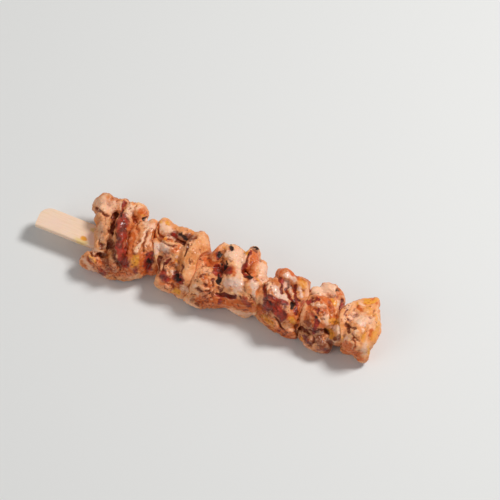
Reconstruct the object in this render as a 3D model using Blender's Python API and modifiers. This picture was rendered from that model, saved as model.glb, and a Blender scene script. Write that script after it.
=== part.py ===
"""A grilled chicken skewer: six folded pieces of thigh meat threaded tight on a flat bamboo stick.

Run with: blender --background --python part.py
Units are metres and +Z is up.  The skewer lies along X with its handle at -X, and it rests on
the flattened undersides of its meat at Z = 0.  Every piece of meat is its own closed solid.
"""

import math

import bmesh
import bpy
import numpy as np
from mathutils import Euler, Matrix, Vector

MM = 0.001

# ---------------------------------------------------------------- driving dimensions
STICK_LENGTH = 147.4 * MM
STICK_THICKNESS = 2.4 * MM
HANDLE_WIDTH = 9.9 * MM
HANDLE_LENGTH = 31.4 * MM      # full width, from the handle's end to its shoulder
HANDLE_CORNER = 4.7 * MM       # radius of the rounded corner at the handle's end
HANDLE_SLANT = 0.5 * MM        # how far the end leans in at its square corner
SHANK_WIDTH = 4.6 * MM         # behind the shoulder, inside the meat
SHOULDER_LENGTH = 5.0 * MM
POINT_LENGTH = 11.0 * MM
STICK_START = -72.6 * MM       # X of the handle's end
STICK_HEIGHT = 8.8 * MM        # Z of the stick's mid-plane above the table
STICK_EDGE = 0.35 * MM         # rounding of the stick's long edges

GAP = 0.3 * MM                 # clearance that touching pieces keep
FLOOR = 1.2 * MM               # how deep the meat's underside is pressed flat
MEAT_VOXEL = 1.0 * MM          # grain at which the folds of one piece fuse
TRIANGLES_PER_PIECE = 1050
BEYOND = 100.0 * MM            # half size of the blocks that trim a piece

# ---------------------------------------------------------------- the folds of each piece of meat
# One fold is (x, y, z, half length, half width, half height, turn about Z in degrees),
# in millimetres, before the underside is pressed flat.
FOLDS = {
    "chicken_1": [
        (-49.7, 13.0, 15.0, 5.4, 3.8, 6.0, 8),      # upper lip that leans to the handle
        (-47.0, 8.7, 13.0, 4.4, 5.4, 7.6, 18),      # fold under that lip
        (-44.2, 1.5, 11.0, 4.0, 9.0, 9.0, 14),      # upright fold where the stick goes in
        (-43.6, -8.7, 7.0, 5.2, 4.0, 6.2, 10),      # curl below the stick
        (-42.3, 15.5, 13.0, 3.2, 4.6, 6.0, 12),     # first knob on the far edge
        (-37.2, 2.6, 11.5, 4.9, 14.5, 11.0, 16),    # tall middle fold
        (-35.0, 15.8, 12.5, 3.7, 4.6, 6.5, 8),      # second knob on the far edge
        (-28.6, 2.0, 11.0, 7.4, 11.5, 10.6, 12),    # broad fold against the second piece
        (-38.0, -7.9, 6.4, 5.6, 4.8, 5.8, -8),      # foot of the near side
        (-30.7, -6.2, 6.6, 6.4, 4.2, 6.0, 18),
        (-27.1, 9.2, 12.0, 4.2, 6.6, 7.0, 5),
        (-42.0, 7.0, 8.2, 6.0, 7.0, 8.0, 0),        # hidden side, far and low
        (-31.0, 8.0, 8.2, 7.0, 8.0, 8.0, 0),
    ],
    "chicken_2": [
        (-21.7, 12.0, 13.5, 5.2, 4.8, 6.5, -6),     # small flap on the far edge
        (-6.5, 5.5, 12.0, 7.0, 12.0, 10.6, 8),      # smooth main fold
        (-15.4, 4.4, 12.5, 6.5, 7.0, 8.5, 0),
        (-14.2, 13.0, 12.5, 6.0, 4.4, 7.4, 0),      # rolled edge that charred
        (-12.6, -3.9, 7.5, 6.0, 6.4, 7.0, 18),      # foot of the near side
        (-5.5, -4.6, 8.0, 6.0, 4.4, 6.0, 15),       # strip of fat
        (-13.0, 7.0, 8.2, 8.0, 7.5, 8.0, 0),
    ],
    "chicken_3": [
        (3.0, 8.7, 12.0, 4.2, 7.8, 8.5, -4),
        (8.1, 10.2, 13.5, 5.2, 6.6, 7.6, 4),
        (15.0, 12.7, 14.0, 3.8, 7.4, 6.4, 8),       # flap that stands up over the far edge
        (13.9, 19.5, 14.0, 2.4, 1.9, 2.2, 0),       # its burnt tip
        (20.4, 8.3, 12.0, 4.2, 8.0, 8.6, 12),
        (13.9, 1.1, 13.5, 6.5, 5.4, 8.0, 0),
        (21.1, 1.6, 12.5, 4.8, 6.0, 8.5, 0),
        (2.4, -1.7, 12.0, 6.8, 7.2, 9.0, 0),
        (0.6, -6.2, 6.6, 5.4, 4.6, 6.2, -16),
        (15.7, -2.7, 7.8, 10.5, 4.2, 7.0, -2),      # long foot of the near side
        (8.4, -4.0, 7.6, 6.4, 4.4, 7.0, 10),
        (5.0, 7.0, 8.2, 7.0, 7.5, 8.0, 0),
        (17.0, 7.0, 8.2, 8.0, 7.5, 8.0, 0),
    ],
    "chicken_4": [
        (31.1, 12.2, 14.0, 4.4, 4.4, 6.4, -8),
        (37.7, 10.7, 13.5, 5.0, 4.8, 6.8, 8),
        (29.7, 3.2, 13.0, 5.8, 8.2, 9.5, 6),
        (36.8, 0.1, 12.0, 7.4, 8.0, 9.0, 0),
        (33.4, -3.7, 7.0, 7.4, 3.8, 6.2, -14),
        (40.5, -4.6, 7.0, 5.8, 4.2, 6.0, 0),
        (42.9, 4.0, 11.5, 5.0, 7.0, 8.0, 0),
        (35.0, 6.0, 8.2, 8.0, 7.5, 8.0, 0),
    ],
    "chicken_5": [
        (48.1, 12.8, 13.0, 5.4, 4.6, 6.5, 0),
        (54.0, 10.3, 12.5, 3.6, 6.6, 7.0, 8),
        (51.0, 2.8, 12.0, 6.2, 8.4, 9.0, 0),
        (58.3, -0.9, 9.5, 3.4, 3.3, 4.2, 0),        # small round lump beside the last piece
        (53.9, -5.8, 6.0, 6.2, 3.9, 5.4, -6),       # thin tail that hangs to the table
        (48.1, -3.4, 6.5, 4.0, 3.6, 5.2, 0),
        (51.0, 6.5, 8.2, 6.0, 7.0, 8.0, 0),
    ],
    "chicken_6": [
        (61.6, 6.7, 11.5, 4.2, 5.4, 7.0, 0),
        (65.3, 11.9, 12.0, 6.6, 3.8, 6.0, 32),      # corner flap
        (68.2, 16.5, 12.0, 2.4, 3.4, 3.2, -10),     # its pointed end
        (68.2, 1.5, 11.0, 6.6, 8.0, 9.5, 0),
        (65.1, -1.9, 8.0, 4.4, 4.0, 6.4, 0),
        (71.3, -1.9, 8.0, 4.6, 4.4, 6.6, 8),
        (72.3, 5.4, 10.5, 3.8, 7.4, 8.0, 14),
        (67.0, 5.0, 7.8, 6.5, 6.4, 8.0, 0),
    ],
}

# Where two neighbours press together: (X at the stick in mm, how far X runs on per unit of Y).
CONTACTS = [(-20.6, -0.38), (-1.8, 0.16), (26.0, -0.166), (44.8, -0.175), (61.2, -0.24)]

# Size in mm of the fold that each neighbour presses against a contact, and its height and offset.
PRESSED_FOLD = (5.0, 8.0, 8.6)
PRESSED_PLACE = (3.0, 10.2)

# Meat is uneven: slow waves push each point of a fold sideways by this share of a wave's length.
WAVE_LENGTHS = (19.0, 13.0, 9.0, 6.5)
WAVE_SHARE = 0.035
GOLDEN_ANGLE = math.pi * (3.0 - math.sqrt(5.0))

MEAT_COLOURS = {
    "chicken_1": (0.52, 0.23, 0.11),
    "chicken_2": (0.62, 0.36, 0.19),
    "chicken_3": (0.66, 0.37, 0.22),
    "chicken_4": (0.50, 0.19, 0.10),
    "chicken_5": (0.58, 0.29, 0.16),
    "chicken_6": (0.66, 0.40, 0.22),
}
BAMBOO_COLOUR = (0.86, 0.68, 0.48)


def clear_scene():
    """Remove whatever the file holds."""
    for obj in list(bpy.data.objects):
        bpy.data.objects.remove(obj, do_unlink=True)


def new_collection(name, shown):
    """A collection that is linked to the scene."""
    collection = bpy.data.collections.new(name)
    collection.hide_render = not shown
    bpy.context.scene.collection.children.link(collection)
    return collection


def new_material(name, colour, roughness):
    """A Principled BSDF of one colour."""
    material = bpy.data.materials.new(name)
    material.use_nodes = True
    shader = material.node_tree.nodes["Principled BSDF"]
    shader.inputs["Base Color"].default_value = (*colour, 1.0)
    shader.inputs["Roughness"].default_value = roughness
    shader.inputs["Metallic"].default_value = 0.0
    return material


def uneven(points):
    """Push points along slow sine waves, each in its own direction, so that no fold stays an ellipsoid."""
    moved = points.copy()
    for i, length in enumerate(WAVE_LENGTHS):
        wave = length * MM
        for k in range(3):
            turn = GOLDEN_ANGLE * (3 * i + k + 1)
            rise = math.cos(1.7 * i + 2.1 * k)
            flat = math.sqrt(1.0 - rise * rise)
            direction = np.array([flat * math.cos(turn), flat * math.sin(turn), rise])
            phase = 2.0 * math.pi / wave * (points @ direction) + turn
            moved[:, k] += WAVE_SHARE * wave * np.sin(phase)
    return moved


def stick_outline(clearance):
    """Outline of the stick, widened all round by the clearance, as one closed list of points."""
    start = STICK_START - clearance
    wide = HANDLE_WIDTH / 2 + clearance
    thin = SHANK_WIDTH / 2 + clearance
    shoulder = STICK_START + HANDLE_LENGTH
    neck = shoulder + SHOULDER_LENGTH
    tip = STICK_START + STICK_LENGTH
    corner = HANDLE_CORNER
    points = [
        (start + HANDLE_SLANT, -wide),
        (shoulder, -wide),
        (neck, -thin),
        (tip - POINT_LENGTH, -thin),
        (tip + clearance, 0.0),
        (tip - POINT_LENGTH, thin),
        (neck, thin),
        (shoulder, wide),
    ]
    steps = 6
    for i in range(steps + 1):
        angle = math.pi / 2 * i / steps
        x = start + corner - corner * math.sin(angle)
        y = wide - corner + corner * math.cos(angle)
        points.append((x, y))
    return points


def stick_curve(name, clearance, collection):
    """The stick's flat outline as a filled curve, extruded to its thickness."""
    curve = bpy.data.curves.new(name, "CURVE")
    curve.dimensions = "2D"
    curve.fill_mode = "BOTH"
    rounding = STICK_EDGE if clearance == 0.0 else 0.0
    curve.bevel_depth = rounding
    curve.bevel_resolution = 1
    curve.offset = -rounding
    curve.extrude = STICK_THICKNESS / 2 + clearance - rounding
    outline = stick_outline(clearance)
    spline = curve.splines.new("POLY")
    spline.points.add(len(outline) - 1)
    for point, (x, y) in zip(spline.points, outline):
        point.co = (x, y, 0.0, 1.0)
    spline.use_cyclic_u = True
    obj = bpy.data.objects.new(name, curve)
    obj.location = (0.0, 0.0, STICK_HEIGHT)
    collection.objects.link(obj)
    return obj


def mesh_from_curve(obj, collection):
    """Replace a curve object by a welded mesh of the same shape, which a Boolean can use."""
    bpy.context.view_layer.update()
    graph = bpy.context.evaluated_depsgraph_get()
    mesh = bpy.data.meshes.new_from_object(obj.evaluated_get(graph))
    work = bmesh.new()
    work.from_mesh(mesh)
    bmesh.ops.remove_doubles(work, verts=work.verts, dist=1e-6)
    bmesh.ops.recalc_face_normals(work, faces=work.faces)
    work.to_mesh(mesh)
    work.free()
    solid = bpy.data.objects.new(obj.name + "_solid", mesh)
    solid.matrix_world = obj.matrix_world
    collection.objects.link(solid)
    bpy.data.objects.remove(obj)
    return solid


def as_cutter(obj):
    """Mark an object as a cutter: drawn as wire, left out of the render."""
    obj.hide_render = True
    obj.display_type = "WIRE"
    return obj


def trim_block(name, centre, turn, collection):
    """A large cube that takes away everything on its side."""
    bpy.ops.mesh.primitive_cube_add(size=2.0 * BEYOND, location=centre, rotation=(0.0, 0.0, turn))
    block = bpy.context.object
    block.name = name
    for owner in list(block.users_collection):
        owner.objects.unlink(block)
    collection.objects.link(block)
    return as_cutter(block)


def contact_block(name, contact, side, collection):
    """The block beyond one contact plane: side +1 takes the meat at larger X, -1 that at smaller X."""
    x_mm, run = contact
    turn = -math.atan(run)
    normal = Vector((math.cos(turn), math.sin(turn), 0.0))
    face = Vector((x_mm * MM, 0.0, 0.0)) - normal * side * GAP / 2
    return trim_block(name, face + normal * side * BEYOND, turn, collection)


def cut(obj, cutter):
    """Take the cutter's volume away from the object."""
    modifier = obj.modifiers.new("cut_" + cutter.name, "BOOLEAN")
    modifier.operation = "DIFFERENCE"
    modifier.solver = "EXACT"
    modifier.object = cutter


def pressed_fold(contact):
    """The fold that fills a piece out to a contact plane, turned to lie along it."""
    x_mm, run = contact
    y_mm, z_mm = PRESSED_PLACE
    turn = math.degrees(-math.atan(run))
    return (x_mm + run * y_mm, y_mm, z_mm, *PRESSED_FOLD, turn)


def folded_meat(name, folds, cutters, collection):
    """One piece of meat: a sphere per fold, fused into one skin, then trimmed flat where it touches."""
    work = bmesh.new()
    for x, y, z, long, wide, high, turn in folds:
        place = Matrix.Translation(Vector((x, y, z)) * MM)
        spin = Euler((0.0, 0.0, math.radians(turn))).to_matrix().to_4x4()
        size = Matrix.Diagonal((long * MM, wide * MM, high * MM, 1.0))
        bmesh.ops.create_uvsphere(work, u_segments=24, v_segments=16, radius=1.0, matrix=place @ spin @ size)
    mesh = bpy.data.meshes.new(name)
    work.to_mesh(mesh)
    work.free()
    points = np.empty(len(mesh.vertices) * 3)
    mesh.vertices.foreach_get("co", points)
    points = uneven(points.reshape(-1, 3)) - np.array([0.0, 0.0, FLOOR])
    mesh.vertices.foreach_set("co", points.ravel())
    obj = bpy.data.objects.new(name, mesh)
    collection.objects.link(obj)

    fuse = obj.modifiers.new("fuse", "REMESH")
    fuse.mode = "VOXEL"
    fuse.voxel_size = MEAT_VOXEL
    soften = obj.modifiers.new("soften", "SMOOTH")
    soften.factor = 0.5
    soften.iterations = 2
    bpy.context.view_layer.update()
    graph = bpy.context.evaluated_depsgraph_get()
    count = sum(len(p.vertices) - 2 for p in obj.evaluated_get(graph).data.polygons)
    thin = obj.modifiers.new("thin", "DECIMATE")
    thin.ratio = min(1.0, TRIANGLES_PER_PIECE / count)
    for cutter in cutters:
        cut(obj, cutter)
    material = new_material(name + "_meat", MEAT_COLOURS[name], 0.45)
    obj.data.materials.append(material)
    return obj


def shape_points(obj, graph):
    """World positions of the vertices of an object as the viewport evaluates it."""
    evaluated = obj.evaluated_get(graph)
    mesh = evaluated.to_mesh()
    points = np.empty(len(mesh.vertices) * 3)
    mesh.vertices.foreach_get("co", points)
    evaluated.to_mesh_clear()
    return points.reshape(-1, 3) + np.array(obj.location)


def centre_on_origin(collection):
    """Shift the finished model so that the middle of its box stands over the origin."""
    bpy.context.view_layer.update()
    graph = bpy.context.evaluated_depsgraph_get()
    points = np.concatenate([shape_points(obj, graph) for obj in collection.objects])
    low, high = points.min(axis=0), points.max(axis=0)
    shift = Vector(((low[0] + high[0]) / 2, (low[1] + high[1]) / 2, low[2]))
    for obj in bpy.data.objects:
        obj.location -= shift


def main():
    clear_scene()
    skewer = new_collection("chicken_skewer", shown=True)
    helpers = new_collection("cutters", shown=False)

    stick = stick_curve("bamboo_stick", 0.0, skewer)
    stick.data.materials.append(new_material("bamboo", BAMBOO_COLOUR, 0.6))

    channel = as_cutter(mesh_from_curve(stick_curve("channel", GAP, helpers), helpers))
    floor = trim_block("table", (0.0, 0.0, -BEYOND), 0.0, helpers)

    names = list(FOLDS)
    for index, name in enumerate(names):
        folds = list(FOLDS[name])
        cutters = [floor]
        if index > 0:
            folds.append(pressed_fold(CONTACTS[index - 1]))
            cutters.append(contact_block(f"before_{name}", CONTACTS[index - 1], -1, helpers))
        if index < len(names) - 1:
            folds.append(pressed_fold(CONTACTS[index]))
            cutters.append(contact_block(f"after_{name}", CONTACTS[index], 1, helpers))
        cutters.append(channel)
        folded_meat(name, folds, cutters, skewer)
    centre_on_origin(skewer)


main()
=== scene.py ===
"""A grilled chicken skewer: six folded pieces of glazed thigh meat on a flat bamboo stick.

The skewer lies on the flattened undersides of its meat, the handle at -X.  Objects are in metres;
sizes in the tables below are in millimetres.
"""

import math

import bpy
import numpy as np
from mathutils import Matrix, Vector


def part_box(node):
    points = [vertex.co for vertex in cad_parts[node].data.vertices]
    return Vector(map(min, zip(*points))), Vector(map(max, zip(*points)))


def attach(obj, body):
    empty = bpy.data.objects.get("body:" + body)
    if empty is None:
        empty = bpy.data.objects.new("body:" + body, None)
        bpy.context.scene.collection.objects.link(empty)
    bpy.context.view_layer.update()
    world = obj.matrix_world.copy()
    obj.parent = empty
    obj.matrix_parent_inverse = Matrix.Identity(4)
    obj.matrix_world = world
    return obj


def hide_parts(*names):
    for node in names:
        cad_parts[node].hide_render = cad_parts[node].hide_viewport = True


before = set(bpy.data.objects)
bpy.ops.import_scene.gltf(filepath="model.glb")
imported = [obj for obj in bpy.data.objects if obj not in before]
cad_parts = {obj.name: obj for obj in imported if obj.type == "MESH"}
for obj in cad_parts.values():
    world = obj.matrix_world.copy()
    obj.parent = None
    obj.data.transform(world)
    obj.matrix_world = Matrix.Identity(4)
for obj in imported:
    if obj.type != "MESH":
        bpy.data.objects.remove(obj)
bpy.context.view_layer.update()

# ================================================================ the bamboo stick
# A flat stick split from bamboo and sanded smooth, with a wide handle whose far corner is rounded.
# The meat hides its narrow shank and its point.  Marinade has stained it where it enters the meat.

MM = 0.001
HANDLE_CORNER = 4.7            # radius of the rounded corner
HANDLE_SLANT = 0.5             # how far the end leans in at the square corner
HANDLE_LENGTH = 31.4
SHOULDER_LENGTH = 5.0
SHANK_SHARE = 0.46             # the shank's width as a share of the handle's
POINT_LENGTH = 11.0
EDGE_SHARPNESS = 7.0           # power of the rounded cross-section
END_SHARE = 0.9                # the end ring's size as a share of the next one's, to ease the rim
END_STEP = 0.06                # how far the next ring lies from the end
TIP_SHARE = 0.02               # the point's width as a share of the shank's


class Wire:
    """An output socket of a material's node; sums, products and powers of wires add Math nodes."""

    def __init__(self, recipe, socket):
        self.recipe = recipe
        self.socket = socket

    def math(self, operation, first, second):
        return self.recipe.node("ShaderNodeMath", {"operation": operation}, {0: first, 1: second})

    def __add__(self, other):
        return self.math("ADD", self, other)

    def __sub__(self, other):
        return self.math("SUBTRACT", self, other)

    def __mul__(self, other):
        return self.math("MULTIPLY", self, other)

    def __pow__(self, other):
        return self.math("POWER", self, other)

    def __radd__(self, other):
        return self.math("ADD", other, self)

    def __rsub__(self, other):
        return self.math("SUBTRACT", other, self)

    def __rmul__(self, other):
        return self.math("MULTIPLY", other, self)


class Recipe:
    """A material under way: its node tree and the ways of adding to it."""

    def __init__(self, name):
        self.material = bpy.data.materials.new(name)
        self.material.use_nodes = True
        self.tree = self.material.node_tree
        self.shader = self.tree.nodes["Principled BSDF"]

    def node(self, kind, settings, sockets, output=0):
        """Add any node: its settings first, then a value or a wire for each named socket."""
        made = self.tree.nodes.new(kind)
        for key, value in settings.items():
            setattr(made, key, value)
        for key, value in sockets.items():
            self.feed(made.inputs[key], value)
        return Wire(self, made.outputs[output])

    def feed(self, socket, value):
        """Link a wire to a socket, or set the socket's own value."""
        if isinstance(value, Wire):
            self.tree.links.new(value.socket, socket)
        else:
            socket.default_value = value

    def finish(self, **sockets):
        """Feed the shader's sockets; an underscore in a name stands for a space."""
        for key, value in sockets.items():
            self.feed(self.shader.inputs[key.replace("_", " ")], value)

    def place(self, stretch=(1.0, 1.0, 1.0)):
        """Object coordinates, stretched along the axes."""
        coordinates = self.node("ShaderNodeTexCoord", {}, {}, "Object")
        scale = {0: coordinates, 1: stretch}
        return self.node("ShaderNodeVectorMath", {"operation": "MULTIPLY"}, scale)

    def noise(self, place, size, detail=2.0, roughness=0.5):
        """Cloudy noise from 0 to 1 whose blotches are about this size in metres."""
        sockets = {"Vector": place, "Scale": 1.0 / size, "Detail": detail, "Roughness": roughness}
        return self.node("ShaderNodeTexNoise", {}, sockets, "Fac")

    def between(self, value, low, high):
        """0 below low, 1 above high, eased between."""
        sockets = {"Value": value, "From Min": low, "From Max": high}
        return self.node("ShaderNodeMapRange", {"interpolation_type": "SMOOTHSTEP"}, sockets)

    def mix(self, first, second, share):
        """Blend two colours by a share from 0 to 1."""
        return self.node("ShaderNodeMix", {"data_type": "RGBA"}, {0: share, 6: first, 7: second}, 2)

    def bump(self, height, distance, strength=1.0):
        """A normal tilted by a height map, whose full range is this distance in metres."""
        sockets = {"Height": height, "Distance": distance, "Strength": strength}
        return self.node("ShaderNodeBump", {}, sockets, "Normal")


def tint(red, green, blue):
    """A colour as it looks on screen, 0 to 255, made linear."""
    shown = np.array([red, green, blue]) / 255.0
    return (*np.where(shown < 0.04045, shown / 12.92, ((shown + 0.055) / 1.055) ** 2.4), 1.0)


def grid_faces(rows, columns, start=0):
    """Quads between neighbouring rows of a grid of points that closes on itself along each row."""
    corner = np.arange((rows - 1) * columns).reshape(rows - 1, columns)
    beside = np.roll(corner, -1, axis=1)
    quads = np.stack([corner, beside, beside + columns, corner + columns], axis=-1)
    return (quads.reshape(-1, 4) + start).tolist()


def new_object(name, points, faces):
    """A mesh object at the origin with its place in its points, in metres."""
    mesh = bpy.data.meshes.new(name)
    mesh.from_pydata(points, [], faces)
    mesh.update()
    made = bpy.data.objects.new(name, mesh)
    bpy.context.scene.collection.objects.link(made)
    return made


def stick_surface(low, high):
    """The stick as rings of a squared-off ellipse, one at each of many places along X.

    The ring's two Y edges follow the outline: a quarter circle at the far corner, a slanted end,
    then the handle's full width, a straight shoulder, the shank and the point.
    """
    length, wide = (high.x - low.x) / MM, (high.y - low.y) / MM
    corner_steps = HANDLE_CORNER * (1.0 - np.cos(np.linspace(0.0, math.pi / 2, 14)))
    straight = np.linspace(HANDLE_CORNER, length, 110)[1:]
    along = np.concatenate([[0.0], corner_steps + END_STEP, straight])
    middle = wide / 2
    inward = np.maximum(HANDLE_CORNER - along, 0.0)
    far_edge = middle - HANDLE_CORNER + np.sqrt(np.maximum(HANDLE_CORNER**2 - inward**2, 0.0))
    near_edge = -middle * np.ones_like(along)
    shoulder = np.clip((along - HANDLE_LENGTH) / SHOULDER_LENGTH, 0.0, 1.0)
    point = np.clip((length - along) / POINT_LENGTH, TIP_SHARE, 1.0)
    narrow = (1.0 - (1.0 - SHANK_SHARE) * shoulder) * point
    far_edge, near_edge = far_edge * narrow, near_edge * narrow
    shrink = np.where(along < END_STEP / 2, END_SHARE, 1.0)

    turn = np.linspace(0.0, 2.0 * math.pi, 56, endpoint=False)
    power = 2.0 / EDGE_SHARPNESS
    across = np.sign(np.cos(turn)) * np.abs(np.cos(turn)) ** power
    up = np.sign(np.sin(turn)) * np.abs(np.sin(turn)) ** power
    half = ((far_edge - near_edge) / 2 * shrink)[:, None]
    y = ((far_edge + near_edge) / 2)[:, None] + half * across
    z = (high.z - low.z) / 2 / MM * shrink[:, None] * up + np.zeros_like(y)
    lean = HANDLE_SLANT * np.clip(1.0 - along / HANDLE_CORNER, 0.0, 1.0)[:, None]
    x = along[:, None] + lean * np.clip(-y / middle, 0.0, 1.0)
    points = np.stack([x, y, z], axis=-1).reshape(-1, 3) * MM
    points += [low.x, (low.y + high.y) / 2, (low.z + high.z) / 2]
    rows, columns = y.shape
    first_cap = list(range(columns))
    last_cap = list(range((rows - 1) * columns, rows * columns))[::-1]
    return points, grid_faces(rows, columns) + [first_cap, last_cap]


stick_low, stick_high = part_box("bamboo_stick")
stick = new_object("stick", *stick_surface(stick_low, stick_high))
work = stick.data
work.flip_normals()
work.shade_smooth()
work.set_sharp_from_angle(angle=math.radians(35.0))

recipe = Recipe("bamboo")
grain_place = recipe.place((0.06, 1.0, 1.0))
grain = recipe.noise(grain_place, 0.0005, 3.0, 0.6)
cloud = recipe.noise(recipe.place(), 0.012, 2.0)
wood = recipe.mix(tint(249, 216, 189), tint(240, 205, 172), recipe.between(grain, 0.35, 0.75))
wood = recipe.mix(wood, tint(247, 211, 194), recipe.between(cloud, 0.5, 0.75) * 0.6)


def splash(x, y, reach_x, reach_y, ragged):
    """A stain on the stick around (x, y) in millimetres, fading over its reach, with a ragged rim."""
    parts = recipe.node("ShaderNodeSeparateXYZ", {}, {0: recipe.place()}, "X")
    other = Wire(recipe, parts.socket.node.outputs["Y"])
    east = (parts - x * MM) * (1.0 / (reach_x * MM))
    north = (other - y * MM) * (1.0 / (reach_y * MM))
    away = (east**2 + north**2) ** 0.5 + ragged * 1.3
    return 1.0 - recipe.between(away, 0.75, 1.35)


ragged = recipe.noise(recipe.place(), 0.0022, 2.0) - 0.3
wood = recipe.mix(wood, tint(250, 208, 186), splash(-50.0, -5.0, 3.6, 5.0, ragged) * 0.8)
wood = recipe.mix(wood, tint(236, 202, 130), splash(-53.6, -8.4, 4.4, 1.3, ragged) * 0.85)
wood = recipe.mix(wood, tint(238, 196, 112), splash(-50.4, -1.8, 2.4, 1.4, ragged) * 0.8)
wood = recipe.mix(wood, tint(236, 158, 44), splash(-53.1, -7.0, 1.9, 1.2, ragged))
wood_normal = recipe.bump(grain, 0.00006, 0.6)
recipe.finish(Base_Color=wood, Roughness=0.62, Normal=wood_normal, Subsurface_Weight=0.12)
recipe.shader.inputs["Subsurface Radius"].default_value = (1.0, 0.6, 0.3)
recipe.shader.inputs["Subsurface Scale"].default_value = 0.0015
work.materials.append(recipe.material)
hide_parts("bamboo_stick")
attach(stick, "root")

# ================================================================ the first piece, beside the handle
# Boned thigh meat, folded over on itself and threaded while raw; the grill set the folds.  Its
# handle end is plain and dull, its middle carries a thick band of red-brown glaze.

# How far the folds move so that the meat lies flat at Z = 0 and the skewer's box is centred.
SET_DOWN = (1.769, 4.041, 1.2)

# Where two neighbours press together: (X at the stick, how far X runs on per unit of Y).
CONTACTS = [(-20.6, -0.38), (-1.8, 0.16), (26.0, -0.166), (44.8, -0.175), (61.2, -0.24)]
PRESSED_FOLD = (5.0, 8.0, 8.6)       # the fold that each neighbour presses against a contact
PRESSED_PLACE = (3.0, 10.2)          # its offset along Y and its height

WAVE_LENGTHS = (19.0, 13.0, 9.0, 6.5)
WAVE_SHARE = 0.035
GOLDEN_ANGLE = math.pi * (3.0 - math.sqrt(5.0))
MEAT_VOXEL = 0.3                     # grain of the fused skin
MEAT_SOFTENING = 26                  # rounds of smoothing after the voxels
CONTACT_WAVES = ((1.3, 2.7), (0.8, 2.0))  # height, and length of a radian, along Y and along Z
CONTACT_GAP = 0.04
CONTACT_SOFTNESS = 0.2
TABLE_SOFTNESS = 0.12

SWAY, SWAY_SIZE = 0.35, 2.4          # how far marks stray from their lines, and over what distance
JITTER, JITTER_SIZE = 0.24, 1.1
FIBRE_STRETCH = 0.78                 # share of its length that noise loses along the fibres
PUFF_HEIGHT = 0.50
FIBRE_HEIGHT = 0.20
FINE_HEIGHT = 0.14
CRUMB_HEIGHT = 0.3
CREASE_DEPTH = 0.30                  # how far under its surroundings a point counts as fully sunk

# The side that was shown to the fire and brushed with glaze faces up and a little to the front.
# Marks on it are laid out on the plane it faces: along the stick, and across it.
SHOWN = np.array([0.206, -0.456, 0.866])
ALONG = np.array([1.0, 0.0, 0.0]) - 0.206 * SHOWN
ALONG /= np.linalg.norm(ALONG)
ACROSS = np.cross(SHOWN, ALONG)


def uneven(points):
    """Push points along slow sine waves, each in its own direction, so that no fold stays regular."""
    moved = points.copy()
    for i, wave in enumerate(WAVE_LENGTHS):
        for k in range(3):
            turn = GOLDEN_ANGLE * (3 * i + k + 1)
            rise = math.cos(1.7 * i + 2.1 * k)
            flat = math.sqrt(1.0 - rise * rise)
            direction = np.array([flat * math.cos(turn), flat * math.sin(turn), rise])
            moved[:, k] += WAVE_SHARE * wave * np.sin(2.0 * math.pi / wave * (points @ direction) + turn)
    return moved


def fold_surface(x, y, z, long, wide, high, turn):
    """Points and faces of one fold: an ellipsoid over longitude and latitude, turned about Z."""
    longitude = np.linspace(0.0, 2.0 * math.pi, 72, endpoint=False)
    latitude = np.linspace(-math.pi / 2, math.pi / 2, 49)[1:-1, None]
    ball = np.stack([
        np.cos(latitude) * np.cos(longitude),
        np.cos(latitude) * np.sin(longitude),
        np.sin(latitude) + 0.0 * longitude,
    ], axis=-1).reshape(-1, 3)
    rows, columns = len(latitude), len(longitude)
    ball = np.concatenate([ball, [[0.0, 0.0, -1.0], [0.0, 0.0, 1.0]]]) * [long, wide, high]
    spin = math.radians(turn)
    spun_x = ball[:, 0] * math.cos(spin) - ball[:, 1] * math.sin(spin)
    spun_y = ball[:, 0] * math.sin(spin) + ball[:, 1] * math.cos(spin)
    points = np.stack([spun_x + x, spun_y + y, ball[:, 2] + z], axis=-1)
    first = np.arange(columns)
    last = first + (rows - 1) * columns
    south = np.stack([np.roll(first, -1), first, np.full(columns, rows * columns)], axis=-1)
    north = np.stack([last, np.roll(last, -1), np.full(columns, rows * columns + 1)], axis=-1)
    return points, grid_faces(rows, columns), south.tolist() + north.tolist()


def pressed_fold(contact):
    """The fold that fills a piece out to a contact, turned to lie along it."""
    x, run = contact
    y, z = PRESSED_PLACE
    return (x + run * y, y, z, *PRESSED_FOLD, math.degrees(-math.atan(run)))


def fused_skin(name, folds):
    """All folds of a piece joined into one skin of even small faces, in millimetres."""
    points, faces = [], []
    count = 0
    for fold in folds:
        spots, quads, caps = fold_surface(*fold)
        points.append(spots)
        faces += [[corner + count for corner in face] for face in quads + caps]
        count += len(spots)
    points = uneven(np.concatenate(points)) - SET_DOWN
    made = new_object(name, points, faces)
    fuse = made.modifiers.new("fuse", "REMESH")
    fuse.mode = "VOXEL"
    fuse.voxel_size = MEAT_VOXEL
    soften = made.modifiers.new("soften", "SMOOTH")
    soften.factor = 0.5
    soften.iterations = MEAT_SOFTENING
    graph = bpy.context.evaluated_depsgraph_get()
    skin = bpy.data.meshes.new_from_object(made.evaluated_get(graph))
    made.modifiers.clear()
    made.data = skin
    return made


def read(part, key, width):
    """A property of all vertices or edges of a mesh as one array."""
    values = np.empty(len(part) * width, dtype=int if key == "vertices" else float)
    part.foreach_get(key, values)
    return values.reshape(-1, width)


def noise(points, size, seed):
    """Smooth noise in -1..1: random values on a turned cubic lattice of this size, eased between."""
    draw = np.random.default_rng(seed)
    table = draw.uniform(-1.0, 1.0, (24, 24, 24))
    spin = np.linalg.qr(draw.normal(size=(3, 3)))[0]
    cell = points @ spin / size
    base = np.floor(cell).astype(int)
    part = cell - base
    ease = part * part * (3.0 - 2.0 * part)
    total = np.zeros(len(points))
    for corner in np.ndindex(2, 2, 2):
        index = (base + corner) % 24
        weight = np.prod(np.where(corner, ease, 1.0 - ease), axis=1)
        total += weight * table[index[:, 0], index[:, 1], index[:, 2]]
    return total * 1.6


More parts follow.
